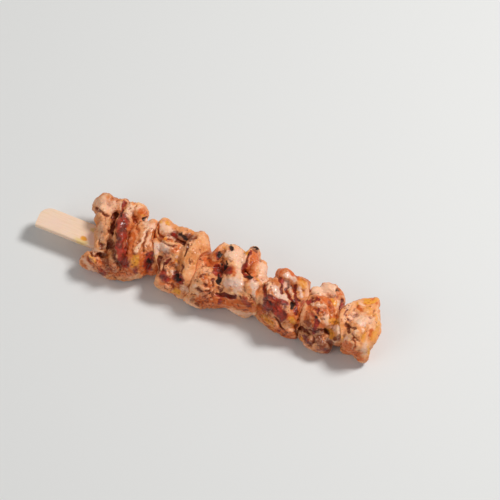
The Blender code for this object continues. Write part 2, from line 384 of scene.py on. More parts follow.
def rough(points, size, seed, octaves):
    """Noise summed over octaves, each half the size and a little over half the height of the last."""
    shares = 0.55 ** np.arange(octaves)
    layers = [noise(points, size / 2.0**i, seed + i) * share for i, share in enumerate(shares)]
    return sum(layers) / shares.sum()


def eased(value, low, high):
    """0 below low, 1 above high, eased between."""
    share = np.clip((value - low) / (high - low), 0.0, 1.0)
    return share * share * (3.0 - 2.0 * share)


def line_distance(places, line):
    """Distance from each place to a bent line: the least over its straight stretches."""
    line = np.array(line, dtype=float).reshape(-1, 2)
    if len(line) == 1:
        return np.linalg.norm(places - line[0], axis=1)
    best = np.full(len(places), np.inf)
    for start, end in zip(line[:-1], line[1:]):
        run = end - start
        share = np.clip((places - start) @ run / (run @ run), 0.0, 1.0)
        best = np.minimum(best, np.linalg.norm(places - start - share[:, None] * run, axis=1))
    return best


def smoothed(points, edges, rounds):
    """Each point moved to the mean of its neighbours, over and over."""
    ends = np.concatenate([edges, edges[:, ::-1]])
    count = np.bincount(ends[:, 0], minlength=len(points))[:, None]
    for _ in range(rounds):
        sums = [np.bincount(ends[:, 0], points[ends[:, 1], k], minlength=len(points)) for k in range(3)]
        points = np.stack(sums, axis=1) / count
    return points


def contact_place(points, contact):
    """X of the wavy surface at which two neighbours meet, for each point's Y and Z."""
    x, run = contact
    (rise_y, radian_y), (rise_z, radian_z) = CONTACT_WAVES
    wave = rise_y * np.sin(points[:, 1] / radian_y + x) + rise_z * np.sin(points[:, 2] / radian_z + 2.0 * x)
    return x - SET_DOWN[0] + run * (points[:, 1] + SET_DOWN[1]) + wave


def held_below(value, limit, soft):
    """Value kept under a limit, eased off over a soft shoulder this wide."""
    return limit - soft * np.logaddexp(0.0, (limit - value) / soft)


# colour marks: real stains, a painted white sheen, and brown that is partly painted crease shade
FINISHES = ("orange", "amber", "brown", "red", "char", "pale", "milky", "crumbly")


def chicken(number, folds, relief, grain, browning, seed, **stains):
    """One piece of meat, as its folds, the ridges and creases on its shown side, and its colour marks.

    A relief is (height, reach, line).  Each further keyword is a finish, with its marks as
    (strength, reach, line): real stains, a painted sheen, and brown partly painted as crease shade.
    A line is one place (along, across) or a list of them, and a reach is half its width.
    """
    folds = list(folds)
    before = CONTACTS[number - 2] if number > 1 else None
    after = CONTACTS[number - 1] if number < 6 else None
    folds += [pressed_fold(contact) for contact in (before, after) if contact]
    made = fused_skin(f"chicken_{number}_meat", folds)
    mesh = made.data
    points = read(mesh.vertices, "co", 3)
    normals = read(mesh.vertices, "normal", 3)
    edges = read(mesh.edges, "vertices", 2)

    # ridges and creases where the fire and the brush reached, wrinkles and fibres everywhere
    places = np.stack([points @ ALONG, points @ ACROSS], axis=1)
    sway = [noise(points, SWAY_SIZE, seed + 90), noise(points, SWAY_SIZE, seed + 91)]
    jitter = [noise(points, JITTER_SIZE, seed + 92), noise(points, JITTER_SIZE, seed + 93)]
    places += SWAY * np.stack(sway, axis=1)
    places += JITTER * np.stack(jitter, axis=1)
    uneven_depth = 0.85 + 0.45 * noise(points, 2.2, seed + 94)
    facing = eased(normals @ SHOWN, -0.15, 0.25)
    height = np.zeros(len(points))
    for rise, reach, line in relief:
        height += rise * np.exp(-((line_distance(places, line) / reach) ** 2)) * facing * uneven_depth
    fibre = math.radians(grain)
    fibre_way = math.cos(fibre) * ALONG + math.sin(fibre) * ACROSS
    drawn = points - FIBRE_STRETCH * (points @ fibre_way)[:, None] * fibre_way
    puffed = np.abs(rough(drawn + 0.8 * sway[0][:, None], 5.0, seed, 3)) ** 0.7
    height += PUFF_HEIGHT * (puffed - 0.5) + FIBRE_HEIGHT * rough(drawn, 1.6, seed + 20, 3)

    # marks of each finish, ragged at the rim: stains, and the painted sheen and painted crease shade; the
    # unseen sides take stains from noise alone
    torn = rough(points, 1.7, seed + 40, 3)
    cloud = rough(points, 7.0, seed + 50, 3)
    spread = rough(points, 4.5, seed + 60, 3)
    masks = {finish: np.zeros(len(points)) for finish in FINISHES}
    for finish, marks in stains.items():
        for strength, reach, line in marks:
            away = line_distance(places, line) / reach + 0.3 * torn
            mask = strength * (1.0 - eased(away, 0.35, 1.5)) * facing
            masks[finish] = np.maximum(masks[finish], mask)
    unseen = 1.0 - facing
    masks["red"] = np.maximum(masks["red"], unseen * eased(spread, 0.2, 0.55) * 0.8)
    masks["orange"] = np.maximum(masks["orange"], unseen * eased(cloud, -0.3, 0.4) * 0.8)
    masks["crumbly"] = np.maximum(masks["crumbly"], unseen * 0.4)
    masks["char"] = np.maximum(masks["char"], unseen * eased(torn + 0.6 * spread, 0.55, 0.85))
    masks["pale"] = np.maximum(masks["pale"], unseen * eased(-spread, 0.25, 0.6) * 0.6)
    height += (FINE_HEIGHT + 0.25 * masks["crumbly"]) * rough(points, 0.9, seed + 30, 2)
    height += CRUMB_HEIGHT * masks["crumbly"] * rough(points, 2.0, seed + 35, 2)
    height += masks["char"] * (0.25 * rough(points, 0.8, seed + 70, 2) - 0.12)
    points = points + normals * height[:, None]

    # neighbours press flat against each other, and the underside is flat on the table
    if after:
        limit = contact_place(points, after) - CONTACT_GAP
        points[:, 0] = held_below(points[:, 0], limit, CONTACT_SOFTNESS)
    if before:
        limit = -contact_place(points, before) - CONTACT_GAP
        points[:, 0] = -held_below(-points[:, 0], limit, CONTACT_SOFTNESS)
    points[:, 2] = -held_below(-points[:, 2], 0.0, TABLE_SOFTNESS)

    # how deep each point lies under its surroundings, from -1 on a ridge to 1 in a crease; it sets the
    # painted crease shade and ridge highlight
    sunk = ((smoothed(points, edges, 14) - points) * normals).sum(axis=1)
    masks["deep"] = np.clip(sunk / CREASE_DEPTH, -1.0, 1.0) * 0.5 + 0.5
    masks["roast"] = np.clip(browning + 0.35 * cloud + 0.15 * torn, 0.0, 1.0)

    mesh.vertices.foreach_set("co", (points * MM).ravel())
    for finish, mask in masks.items():
        layer = mesh.attributes.new(finish, "FLOAT", "POINT")
        layer.data.foreach_set("value", mask.astype(np.float32))
    mesh.update()
    mesh.shade_smooth()
    mesh.materials.clear()
    mesh.materials.append(meat)
    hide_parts(f"chicken_{number}")
    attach(made, "root")


recipe = Recipe("grilled chicken")


def layer_of(finish):
    """How strongly a finish covers the surface."""
    return recipe.node("ShaderNodeAttribute", {"attribute_name": finish}, {}, "Fac")


def ragged_layer(finish, speck, low, high):
    """A finish whose cover is broken up by fine specks."""
    return recipe.between(layer_of(finish) + speck, low, high)


place = recipe.place()
fine = recipe.noise(place, 0.0007, 3.0, 0.6)
medium = recipe.noise(place, 0.0024, 3.0, 0.6)
broad = recipe.noise(place, 0.006, 2.0)
speck = (fine - 0.5) * 0.55 + (medium - 0.5) * 0.45
roast = layer_of("roast")
deep = layer_of("deep")

flesh = recipe.mix(tint(250, 184, 134), tint(236, 149, 82), recipe.between(broad, 0.3, 0.7))
flesh = recipe.mix(flesh, tint(196, 98, 36), recipe.between(roast + speck * 0.8, 0.25, 1.05))
flesh = recipe.mix(flesh, tint(250, 196, 162), ragged_layer("pale", speck * 0.8, 0.05, 0.95))
flesh = recipe.mix(flesh, tint(216, 98, 24), ragged_layer("orange", speck * 0.9, 0.1, 0.95) * 0.92)
flesh = recipe.mix(flesh, tint(238, 156, 44), ragged_layer("amber", speck * 0.8, 0.1, 0.9))
# brown marks: the browned meat's own colour, and painted shade laid along the creases and low folds
flesh = recipe.mix(flesh, tint(122, 46, 14), ragged_layer("brown", speck * 1.0, 0.12, 0.95) * 0.9)
# painted reflection: soft white patches of sheen on the level wet folds, laid into the colour
flesh = recipe.mix(flesh, tint(245, 205, 184), ragged_layer("milky", speck * 1.1, 0.12, 1.05) * 0.92)
grit = recipe.noise(place, 0.0017, 2.0, 0.6)
crumbly = layer_of("crumbly")
flesh = recipe.mix(flesh, tint(140, 54, 20), recipe.between(grit + crumbly * 0.12, 0.6, 0.74) * 0.8)
flesh = recipe.mix(flesh, tint(252, 200, 156), recipe.between(grit, 0.44, 0.3) * crumbly * 0.6)
# painted highlight: the ridges lighter
flesh = recipe.mix(flesh, tint(255, 200, 152), recipe.between(deep, 0.42, 0.1) * 0.25)
red = ragged_layer("red", speck * 0.6, 0.1, 0.8)
glaze = recipe.mix(tint(170, 36, 22), tint(92, 10, 8), recipe.between(medium, 0.36, 0.66))
flesh = recipe.mix(flesh, glaze, red * 0.92)
# painted shade: the creases darker brown
flesh = recipe.mix(flesh, tint(126, 42, 10), recipe.between(deep, 0.56, 1.0) * 0.6)
char = ragged_layer("char", speck * 0.8, 0.15, 0.9)
burnt = recipe.mix(tint(42, 22, 16), tint(72, 42, 30), recipe.between(fine, 0.45, 0.7))
flesh = recipe.mix(flesh, burnt, char)

wet = recipe.between(medium, 0.35, 0.65)
milk = layer_of("milky")
dull = 0.56 - 0.1 * wet - 0.12 * red + 0.2 * char
juice = (0.06 + 0.34 * wet + 0.1 * red + 0.4 * milk) * (1.0 - 0.7 * char)
meat_normal = recipe.bump(fine * 0.7 + recipe.noise(place, 0.0003, 2.0) * 0.3, 0.00035, 0.8)
recipe.finish(Base_Color=flesh, Roughness=dull, Coat_Weight=juice, Normal=meat_normal)
recipe.finish(Coat_Roughness=0.14, Specular_IOR_Level=0.25)
recipe.finish(Subsurface_Weight=0.28, Subsurface_Scale=0.0018)
recipe.shader.inputs["Subsurface Radius"].default_value = (1.0, 0.4, 0.2)
meat = recipe.material

chicken(
    1,
    folds=[
        (-49.4, 13.4, 15, 5.6, 3.2, 5, 10),     # upper lip that leans to the handle
        (-47, 8.7, 13, 4.4, 5.4, 7.6, 18),
        (-45.6, 13.6, 13, 4.2, 3.8, 6.4, 12),
        (-38.8, 14.4, 13, 3.6, 3.6, 6.2, 10),
        (-44.2, 1.5, 11, 4, 9, 9, 14),          # upright fold where the stick goes in
        (-43.6, -8.7, 7, 5.2, 4, 6.2, 10),      # curl below the stick
        (-42.3, 14.8, 13, 3.4, 3.9, 6, 12),     # knobs on the far edge
        (-35.3, 14.6, 12.5, 4.2, 3.9, 6.5, 8),
        (-37.2, 2.6, 11.5, 4.9, 14.5, 11, 16),  # tall middle fold under the glaze
        (-28.6, 2, 11, 7.4, 11.5, 10.6, 12),    # broad fold against the second piece
        (-38, -7.9, 6.4, 5.6, 4.8, 5.8, -8),    # foot of the near side
        (-30.7, -6.2, 6.6, 6.4, 4.2, 6, 18),
        (-27.1, 9.2, 12, 4.2, 6.6, 7, 5),
        (-42, 7, 8.2, 6, 7, 8, 0),              # the unseen side
        (-31, 8, 8.2, 7, 8, 8, 0),
    ],
    relief=[
        (-0.9, 0.7, [(-54.6, 12), (-52, 11), (-48.5, 10.6)]),
        (-0.6, 0.8, [(-47.3, 18), (-47, 14), (-46.5, 11)]), (-0.5, 0.5, [(-49, 9.5), (-48, 7.5)]),
        (0.6, 0.8, [(-47.2, 6), (-46, 0), (-44.4, -4)]),
        (-0.8, 0.5, [(-48.9, 4), (-48.2, 0), (-48, -2)]), (-1, 1, (-46.5, -1.2)),
        (-0.7, 0.6, (-45.6, -3.2)), (-1.2, 0.9, [(-43.1, 1.5), (-43.1, -0.8)]),
        (-1.2, 0.8, [(-46, 12), (-45.1, 8), (-44.8, 5), (-43, 5)]),
        (-0.6, 0.5, [(-44.4, 4.6), (-44.8, 2), (-44.2, -1)]),
        (-1.1, 0.7, [(-50, -5.4), (-48, -5.8), (-45, -5.4), (-43, -4.5)]),
        (0.5, 0.8, [(-50, -6.8), (-47, -8.2)]), (-0.5, 0.5, [(-49.8, -7.6), (-48, -9.2)]),
        (-0.8, 0.5, [(-44, 18.5), (-43.8, 15), (-43.6, 12.5)]),
        (-1.2, 1.1, [(-41.8, 0), (-40.2, -3.5), (-38.5, -5.5), (-37, -6.2)]),
        (0.6, 1.9, [(-41.2, 10), (-40.4, 5), (-38.5, 0), (-36, -3.5)]),
        (-0.4, 0.7, [(-38, 8), (-37.5, 4), (-36.6, 1)]), (-0.6, 0.5, [(-42.4, 20), (-42.8, 16)]),
        (-0.6, 0.6, [(-40, 19), (-39, 15), (-37.5, 13.5), (-35, 10), (-33.5, 8)]),
        (-0.9, 0.6, [(-33, 15.5), (-34.5, 14.5)]), (-0.5, 0.5, [(-34.5, 13), (-33.8, 9), (-33, 5)]),
        (0.6, 0.6, [(-31.4, 11.8), (-31.8, 9), (-32, 5), (-32.3, 1)]),
        (-0.6, 0.5, [(-30.8, 10), (-31, 6), (-30, 3)]), (0.35, 0.6, [(-29.5, 9.5), (-29.6, 5)]),
        (0.4, 1.2, [(-36, 6), (-35, 2)]),
    ],
    orange=[
        (0.6, 0.6, [(-49.2, 4.5), (-48.6, 3)]), (0.95, 2.4, [(-37, 9), (-35.6, 4), (-34.4, 0)]),
        (0.8, 0.9, [(-38.3, 13.6), (-36, 11.5), (-34.4, 9.3)]),
        (0.85, 1.5, [(-36.4, 17.2), (-34.6, 17)]), (0.9, 2.4, [(-29, 0.5), (-27, -4), (-25, -5)]),
        (0.9, 2.4, [(-41, -8.6), (-36, -8.8), (-32, -7)]),
        (0.95, 2.2, [(-48, -7.6), (-44, -9), (-41.5, -9.5)]),
    ],
    amber=[
        (0.8, 0.9, (-35.6, 16.2)), (0.7, 1.7, [(-31.6, -1.4), (-31, -3.4)]),
        (0.8, 0.8, [(-49, -6.8), (-46.6, -8.2)]),
    ],
    # brown, mostly laid along the creases as painted shade
    brown=[
        (0.4, 4, [(-49, 8), (-47.5, 2)]), (0.9, 0.8, [(-54.4, 12), (-52, 11), (-48.5, 10.6)]),
        (0.9, 1.1, [(-46, 12), (-45.1, 8), (-44.8, 5), (-42.8, 5)]),
        (0.95, 1.2, [(-46.6, -0.8), (-46.2, -2.4)]), (0.95, 1.1, [(-43.3, 1.6), (-43, -1.4)]),
        (0.9, 0.8, [(-50, -5.4), (-48, -5.8), (-45, -5.4)]),
        (1, 1.4, [(-41, -0.8), (-39.8, -3.6), (-37.5, -6)]),
        (0.6, 0.6, [(-30.7, 10), (-31, 6), (-30, 3)]), (0.6, 2, [(-43, -6.4), (-40, -9), (-37, -7.6)]),
    ],
    red=[
        (1, 2.1, [(-42.6, 12.3), (-41.2, 10), (-40.4, 6), (-38.9, 1), (-36.8, -3), (-35.2, -4.4)]),
        (0.85, 0.9, [(-44.3, 18.5), (-43.9, 15), (-43.6, 12)]), (0.7, 1.6, [(-43.6, 11), (-43, 8)]),
        (0.4, 0.7, [(-38, 14), (-36.6, 12)]), (0.5, 0.6, (-34.4, 18)),
        (0.95, 1.9, [(-27, 2.2), (-25.8, -2.4)]), (0.7, 1.3, (-30, -5.6)),
        (0.6, 1.2, [(-43.2, -11), (-41.6, -11.6)]), (0.5, 0.7, [(-49.6, -7.8), (-48, -9.2)]),
    ],
    char=[
        (0.7, 0.7, (-43.7, 8.4)), (0.6, 0.5, [(-43.6, 15), (-43.6, 13)]), (0.55, 0.6, (-40.3, 1.2)),
        (0.55, 0.9, [(-40.3, -2.6), (-38, -5.4)]), (0.75, 0.7, [(-33.2, 15.5), (-34.7, 14.6)]),
        (1, 0.8, [(-26.6, 0.2), (-26, -1)]), (0.7, 0.45, (-40.7, -7.8)), (0.6, 0.45, (-36, -7.4)),
    ],
    pale=[
        (0.7, 3.4, [(-53, 14.6), (-49, 14.4)]), (0.5, 1.4, [(-49.6, 6), (-48, 1)]),
        (0.7, 0.6, [(-45.4, 17.6), (-45.2, 15)]), (0.9, 1.8, [(-41.2, 17), (-40.6, 14.4)]),
        (0.7, 1.6, (-38, 18.4)), (0.8, 2.2, [(-32.4, 13.6), (-29.8, 13)]),
        (0.9, 0.6, [(-31.4, 11.8), (-31.8, 9), (-32, 5), (-32.3, 1)]),
        (0.6, 0.9, [(-29.2, 9.5), (-29.4, 5)]),
        (0.7, 1.1, [(-51.2, -9), (-48.5, -11.3), (-45.5, -12.6), (-41, -13.3)]),
        (0.5, 1, [(-34.5, -9.6), (-31, -8.6)]), (0.9, 0.8, [(-49.6, -4.2), (-46, -4.6), (-43.8, -4.4)]),
    ],
    crumbly=[
        (0.9, 3, [(-46, -8), (-41, -10), (-34, -8)]), (0.6, 2, [(-47, -1), (-43, 0)]),
        (0.5, 2, [(-36, 0), (-29, 4)]),
    ],
    grain=78,
    browning=0.5,
    seed=100,
)

# ================================================================ the second piece
# A broad smooth fold beside a crumpled one.  The rolled far edge caught the flame and charred, the
# small flap over it stayed pale, and a strip of yellow fat runs along the near side.

chicken(
    2,
    folds=[
        (-21.9, 12.4, 13.5, 5.4, 4.9, 6.5, -6), # small flap on the far edge
        (-18.6, 12.6, 12.8, 4.2, 4.4, 6.6, 0),
        (-6.5, 5.5, 12, 7, 12, 10.6, 8),        # smooth main fold
        (-15.4, 4.4, 12.5, 6.5, 7, 8.5, 0),
        (-14.2, 13, 12.5, 6, 4.4, 7.4, 0),      # rolled edge that charred
        (-12.6, -3.9, 7.5, 6, 6.4, 7, 18),      # foot of the near side
        (-5.5, -4.6, 8, 6, 4.4, 6, 15),         # strip of fat
        (-13, 7, 8.2, 8, 7.5, 8, 0),            # the unseen side
    ],
    relief=[
        (-0.8, 0.6, [(-28.3, 15.5), (-27.5, 12.5), (-25.6, 10.4), (-22.5, 10.4)]),
        (-0.7, 0.5, [(-25.6, 9), (-23.5, 8.4), (-21.5, 8.6), (-20, 9.6), (-18.5, 9.6)]),
        (-1, 0.7, [(-19, 11.8), (-17, 11.6), (-14.5, 11.6), (-13.8, 10), (-13.8, 7.8)]),
        (-0.6, 0.6, [(-12.2, 16.5), (-12.5, 13.5), (-13, 12)]),
        (0.5, 1.4, [(-24.8, 14.2), (-22.4, 13.8)]),
        (-0.35, 0.35, [(-11, 9), (-10.7, 6.4), (-10.3, 4.5)]),
        (-0.9, 0.7, [(-18, 8), (-18.5, 4), (-19.5, 1), (-20.5, -1.5)]),
        (-0.8, 0.6, [(-22.8, 2.5), (-22, 0), (-22, -3)]), (0.4, 0.9, (-16.5, 5.4)),
        (0.4, 0.9, (-15.6, 2.6)), (0.4, 0.8, (-16.2, -0.8)), (-0.5, 0.7, [(-13, 2.6), (-12.6, 0.6)]),
        (-0.5, 0.6, [(-13.8, -1.4), (-12.7, -2.6), (-11.4, -2.2)]),
        (-0.4, 0.5, [(-10, -4), (-13, -5.3), (-16, -6)]),
        (0.5, 1, [(-16, -7), (-12, -7), (-8, -5.8), (-5.5, -5.2)]),
        (-0.3, 0.7, [(-5, 9.2), (-4.8, 6.6)]),
    ],
    orange=[
        (1, 0.6, [(-28.4, 15), (-27.4, 12.5), (-25.8, 10.6), (-22.5, 10.6), (-20.5, 11.3)]),
        (0.8, 1.6, [(-18.4, 7.6), (-17.4, 9.4)]), (0.8, 1, [(-18.2, 1.4), (-17.2, 2.6)]),
        (1, 2.1, [(-16, -4.4), (-12.6, -4.4)]), (0.6, 1.6, [(-18.2, -7), (-14, -8.2)]),
        (1, 1, [(-5.9, 17), (-5, 16.2)]), (0.7, 1.2, [(-5.2, 9.2), (-4.6, 7)]),
    ],
    amber=[
        (0.9, 0.7, (-27.7, 16.4)), (0.9, 0.8, [(-25.2, 16.6), (-24.6, 16.4)]),
        (0.6, 0.6, (-23.4, 10.9)), (0.7, 0.7, (-15.8, 3.7)), (1, 1.2, [(-12.2, -7.2), (-10.6, -7.4)]),
        (0.7, 0.5, (-6.3, -5)), (1, 0.9, (-5.6, 16.6)), (0.5, 0.5, (-6.3, 12.4)),
    ],
    # brown, mostly laid along the creases as painted shade
    brown=[
        (0.6, 0.5, [(-27.9, 13), (-25.8, 10.2)]),
        (0.95, 1.7, [(-20.5, 14.2), (-16.5, 14.2), (-13.2, 15)]),
        (1, 0.7, [(-18.6, 11.9), (-14.6, 11.8), (-13.8, 9.4), (-13.8, 7.6)]),
        (0.7, 0.5, [(-21.6, 8.6), (-20, 9.6)]), (0.7, 0.7, [(-26.4, 9.6), (-22, 8.8), (-18.4, 9.8)]),
        (0.9, 0.8, [(-22.6, 2.4), (-22, -1.5), (-21, -3)]), (0.9, 0.7, [(-19.4, 1.4), (-20.2, -2)]),
        (0.9, 0.8, [(-12.9, 2.4), (-12.6, 0.6)]), (0.8, 0.6, (-15.2, -8.3)), (0.7, 0.6, (-4.6, 6.7)),
        (0.7, 0.3, [(-10.7, 6.4), (-10.3, 4.6)]), (0.6, 0.35, (-10.1, 3.5)), (0.5, 0.3, (-11.1, 9.1)),
    ],
    red=[
        (0.85, 0.9, [(-21, 13.6), (-19.6, 13.2)]), (0.45, 1.6, [(-20.4, 5), (-21, 2)]),
        (0.8, 0.7, [(-19, 3.4), (-19.8, 1.2)]), (0.95, 2, [(-13.8, -1.6), (-11.6, -2.6)]),
        (0.75, 1.9, [(-19.2, -3.2), (-17.4, -4.6)]),
    ],
    char=[
        (1, 1.3, (-18.3, 14.9)), (0.9, 0.8, [(-17, 14.6), (-15.4, 13.4)]),
        (0.9, 0.6, [(-13.8, -1.2), (-13, -2.8), (-11.8, -2.4)]),
    ],
    pale=[
        (1, 2.1, [(-26, 14.6), (-22.4, 13.6)]), (0.9, 0.8, (-16.4, 5.3)), (0.8, 0.8, (-15.4, 2.4)),
        (0.8, 0.8, [(-17.6, -9.8), (-13, -9.6)]), (0.7, 1.3, [(-10, -5.4), (-6.2, -5.8)]),
    ],
    # painted highlight: white sheen patches on the wet folds
    milky=[
        (0.6, 0.9, [(-22.4, 12), (-20, 12.4)]), (0.9, 1.9, [(-25, 6.2), (-21.6, 6.9)]),
        (0.8, 1.1, (-24.2, 4.4)), (0.9, 0.8, (-16.2, -0.8)), (0.9, 0.5, (-12.5, -1.1)),
        (0.5, 0.9, [(-4.5, 13.4), (-4, 11.2)]),
    ],
    crumbly=[
        (0.9, 2.2, [(-19.5, 3), (-17, -2), (-15, -7)]), (0.6, 1.8, [(-22, 9.5), (-18, 9)]),
        (0.5, 1.6, [(-12, -5), (-6, -7)]),
    ],
    grain=84,
    browning=0.36,
    seed=200,
)

# ================================================================ the third piece
# The longest piece: a pale crown with a tongue of skin that curls over it, crumbly at the handle
# end where the marinade dried, and a smooth band of muscle along the near side.

chicken(
    3,
    folds=[
        (3, 9.3, 12.4, 4.4, 8.2, 8.5, -4),
        (8.1, 11.2, 13.5, 5.6, 6.9, 7.6, 4),
        (10.8, 6.4, 13.4, 5.2, 5.4, 7.4, 0),
        (18.6, 11.4, 13, 4.4, 5, 6.4, -38),
        (15, 12.7, 14, 4.6, 7.4, 6.4, 8),       # tongue that stands up over the far edge
        (13.9, 19.5, 14, 2.4, 1.9, 2.2, 0),     # its burnt tip
        (20.4, 8.3, 12, 4.2, 8, 8.6, 12),
        (13.9, 1.1, 13.5, 6.5, 5.4, 8, 0),
        (21.1, 1.6, 12.5, 4.8, 6, 8.5, 0),
        (2.4, -1.7, 12, 6.8, 7.2, 9, 0),
        (0.6, -6.2, 6.6, 5.4, 4.6, 6.2, -16),
        (15.7, -2.7, 7.8, 10.5, 4.2, 7, -2),    # long foot of the near side
        (8.4, -4, 7.6, 6.4, 4.4, 7, 10),
        (5, 7, 8.2, 7, 7.5, 8, 0),              # the unseen side
        (17, 7, 8.2, 8, 7.5, 8, 0),
    ],
    relief=[
        (-0.5, 0.6, [(0.3, 15.5), (0.6, 12), (1, 10)]),
        (-1, 0.8, [(9.6, 17.5), (9.9, 14), (10.5, 10.5), (12, 8.2), (13.6, 7.4)]),
        (-0.6, 0.7, [(14.5, 19), (16.2, 15), (17, 11), (16.2, 8)]),
        (0.6, 1.8, [(12.6, 16), (13.4, 11)]), (0.35, 2.2, [(7.6, 3.8), (10.4, 4.4)]),
        (-0.7, 0.7, [(4.2, 1.6), (5, 0), (5, -1.6)]),
        (-0.8, 0.7, [(4, -2.4), (6.5, -1.9), (9, -1.6), (10.8, -1)]),
        (0.6, 1.9, [(17.2, 6.6), (18.6, 4.2)]), (-0.5, 0.8, [(13, 6.6), (13.4, 4), (14.2, 2)]),
        (-0.5, 0.6, [(14.2, 1.6), (17, 1.8), (19.5, 0.2), (21, -0.5)]),
        (-0.4, 0.5, [(4.6, 9.8), (3, 8), (2.6, 5), (2.7, 2)]), (-0.4, 0.6, [(-4.7, 10), (-4.8, 7)]),
        (-0.5, 0.5, [(-3.6, 3.4), (-4.8, 1.4)]), (-0.5, 0.5, [(-2.2, -0.6), (-1.2, -0.9)]),
        (-0.5, 0.5, [(0.6, 2.4), (1.4, 0.2)]), (-0.5, 0.5, [(0.4, -2.8), (1.4, -3.2)]),
        (-0.5, 0.5, [(-3.6, -3.2), (-2.2, -3.6)]), (0.5, 0.8, (-1.2, 1.2)), (0.5, 0.7, (2.4, -1)),
        (0.4, 0.7, (-3, -5)), (0.4, 0.6, (0.4, -1.6)), (0.35, 1.2, [(8, -5.2), (14, -4.2), (20, -3.6)]),
        (-0.4, 0.4, [(9, -6), (14, -5.2), (18.5, -4.4)]),
        (-0.9, 0.6, [(-9, -8.3), (-6.5, -7.6), (-4.6, -6.4)]),
    ],
    orange=[
        (1, 1.4, [(-2.2, 14), (-1.6, 11)]), (1, 1.7, [(-4.6, 8.6), (-2, 8.2), (0, 8.6)]),
        (0.9, 1.3, [(5.8, 9.2), (7.4, 7.4)]), (0.7, 3.2, [(-3, 2), (0, -2.5)]),
        (1, 2.7, [(12.4, 17.5), (12.8, 14), (13.4, 11), (14.6, 9.4)]),
        (1, 2.6, [(-1, -7.4), (5, -5.6), (12, -3.6), (20, -1.6)]),
    ],
    amber=[
        (0.8, 0.6, (0.2, 16.3)), (0.6, 0.7, (-1.8, 3.6)), (0.9, 0.8, [(8.6, 18.2), (9, 17.2)]),
        (0.45, 0.8, [(16.8, 11.6), (17.2, 9)]), (0.7, 0.5, (19.2, -1)),
    ],
    # brown, mostly laid along the creases as painted shade
    brown=[
        (0.6, 0.6, (4.3, 11.6)), (0.8, 0.6, (-4.5, 6.6)), (1, 0.8, [(-3.8, 3.3), (-4.8, 1.4)]),
        (0.9, 0.6, (-5.2, -0.9)), (1, 0.7, [(-2.2, -0.7), (-1, -0.9)]),
        (1, 0.8, [(0.7, 2.4), (1.4, 0.2)]), (0.9, 0.6, (-0.6, -2.6)),
        (1, 0.6, [(0.6, -2.9), (1.4, -3.2)]), (0.9, 0.7, [(-3.8, -3.2), (-2.2, -3.5)]),
        (0.9, 0.7, [(3.4, 0.6), (4.8, -0.6)]), (0.9, 0.5, [(7.6, 2.3), (8.1, 2.4)]),
        (0.6, 0.35, (10.4, 3.1)), (0.5, 0.7, (13.3, 5.9)), (0.9, 0.8, [(11, 19.4), (13, 19.2)]),
        (0.8, 0.5, (15.2, -0.4)), (0.8, 0.5, (17.3, 1.4)), (0.8, 0.5, (13.5, -3.4)),
        (0.7, 0.5, (1, -7)), (0.8, 0.8, [(-2, -9.6), (-0.8, -9.9)]), (0.6, 1.4, (-4.2, -8.8)),
    ],
    red=[
        (0.8, 1, [(-1.6, 12.6), (-0.6, 11.2)]), (0.6, 1.3, (2.6, 16.6)), (0.7, 0.6, (-4.5, 9.6)),
        (1, 1.7, [(0.4, 7.4), (1.2, 5.6), (3.6, 7), (5.2, 7.8)]), (0.8, 0.9, [(2.6, 9), (2.6, 4.8)]),
        (0.35, 1.2, (8.2, 0.6)), (1, 1, [(4.2, -2.6), (6.5, -2.2), (9, -1.7), (10.8, -1.1)]),
        (0.8, 0.8, [(6, -4.2), (6.6, -5.8)]),
        (0.85, 0.8, [(10.2, 18), (10.5, 14), (10.9, 10.5), (12.4, 8.6), (14.6, 8)]),
        (0.45, 0.9, [(12.6, 14), (13.4, 11.4)]), (0.6, 1.4, [(14.6, -0.4), (17.6, -2)]),
        (0.5, 0.35, [(10.2, -5.6), (15, -4.8), (18.5, -4)]),
    ],
    char=[
        (1, 1.1, [(-0.6, 13.2), (-0.4, 12.4)]), (1, 0.9, [(2.8, 17.2), (3.4, 16.6)]),
        (0.9, 0.4, [(2.6, 10.6), (3.4, 10)]), (0.9, 0.4, [(1.2, 9.4), (2, 9)]),
        (1, 0.6, [(3.2, 8.8), (3.4, 7.6)]), (0.9, 0.6, (2.3, 5)), (1, 0.8, [(2.8, 3.6), (3, 2.2)]),
        (0.5, 0.5, [(8.6, -1.7), (10.6, -1.2)]), (0.9, 0.6, (10, 16.8)),
        (1, 1, [(13.6, 8.9), (14.6, 8.7)]), (1, 1.4, [(10.4, 21.6), (12.4, 20.8)]),
    ],
    pale=[
        (1, 2.5, [(3.4, 14), (6.6, 15.8), (8.4, 12.4)]), (0.7, 1.6, [(9, 10), (9.6, 7)]),
        (0.9, 0.6, (1.4, 6.4)), (0.6, 0.7, [(-4.4, 4.4), (-1.2, 4.8)]), (0.9, 0.8, (-1.3, 1.2)),
        (0.8, 0.6, (2.4, -1)), (0.8, 0.8, (-5.4, -2.8)), (0.7, 0.7, (-3.2, -5.2)),
        (0.9, 1.3, [(19.4, 1.4), (20, 0.6)]), (0.4, 0.7, [(15, 16), (15.6, 12.4)]),
        (0.95, 2.2, [(17.6, 14.4), (19.2, 10.4)]), (0.8, 0.9, [(8, -7.6), (14, -6.8), (21, -5.4)]),
        (0.5, 0.9, [(-6, -10), (0, -11.2)]),
    ],
    # painted highlight: white sheen patches on the wet folds
    milky=[
        (1, 2.1, [(6.2, 3), (9, 4.4), (11, 4.6)]), (0.7, 1.5, [(10.6, 1.6), (12.2, 2.6)]),
        (0.95, 1.9, [(16.4, 7), (18, 5), (19.2, 3)]), (0.9, 0.45, (6.6, -4.9)),
    ],
    crumbly=[
        (1, 3.6, [(-3.4, 2.5), (0, -1), (1, -4)]), (0.9, 2, [(2, 9), (2.5, 5)]),
        (0.7, 1.5, [(14, 0.5), (19, 0)]), (0.5, 1.6, [(-2, -8), (4, -8)]),
    ],
    grain=20,
    browning=0.42,
    seed=300,
)
